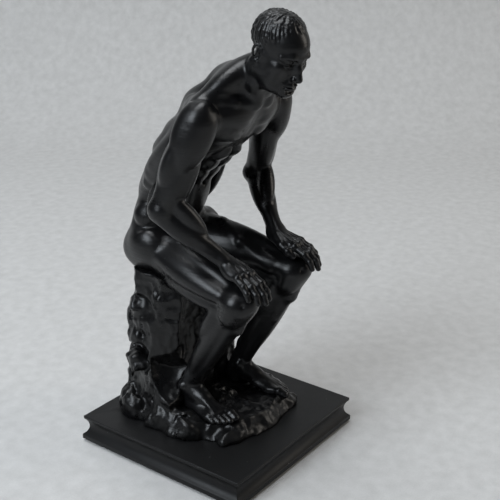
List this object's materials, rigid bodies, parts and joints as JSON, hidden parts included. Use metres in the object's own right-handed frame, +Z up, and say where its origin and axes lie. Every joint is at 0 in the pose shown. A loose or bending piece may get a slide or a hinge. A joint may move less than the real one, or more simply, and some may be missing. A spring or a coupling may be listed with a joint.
{
  "type": "statuette",
  "caption": "Black satin statuette of a seated figure in thought, hands on its knees, on a rough rock screwed to a moulded square plinth with felt underneath.",
  "frame": {"origin": "middle of the felt's underside, where the statuette meets the table", "axes": "+Z up; the figure faces -Y, so its left side is +X and its right side is -X"},
  "size_m": [0.08, 0.08, 0.1767],
  "materials": {
    "figure": "satin black",
    "rock": "satin black, rough cut",
    "plinth": "dull black",
    "felt": "black felt",
    "steel": "plain steel",
    "brass": "turned brass"
  },
  "bodies": {
    "root": {"plinth": "plinth", "felt_sheet": "felt", "plinth_screws": "steel", "screw_washers": "steel", "threaded_inserts": "brass", "seat_dowels": "steel", "foot_pins": "steel", "rock_seat": "rock", "torso": "figure", "head": "figure", "right_arm": "figure", "left_arm": "figure", "right_leg": "figure", "left_leg": "figure"}
  },
  "joints": []
}
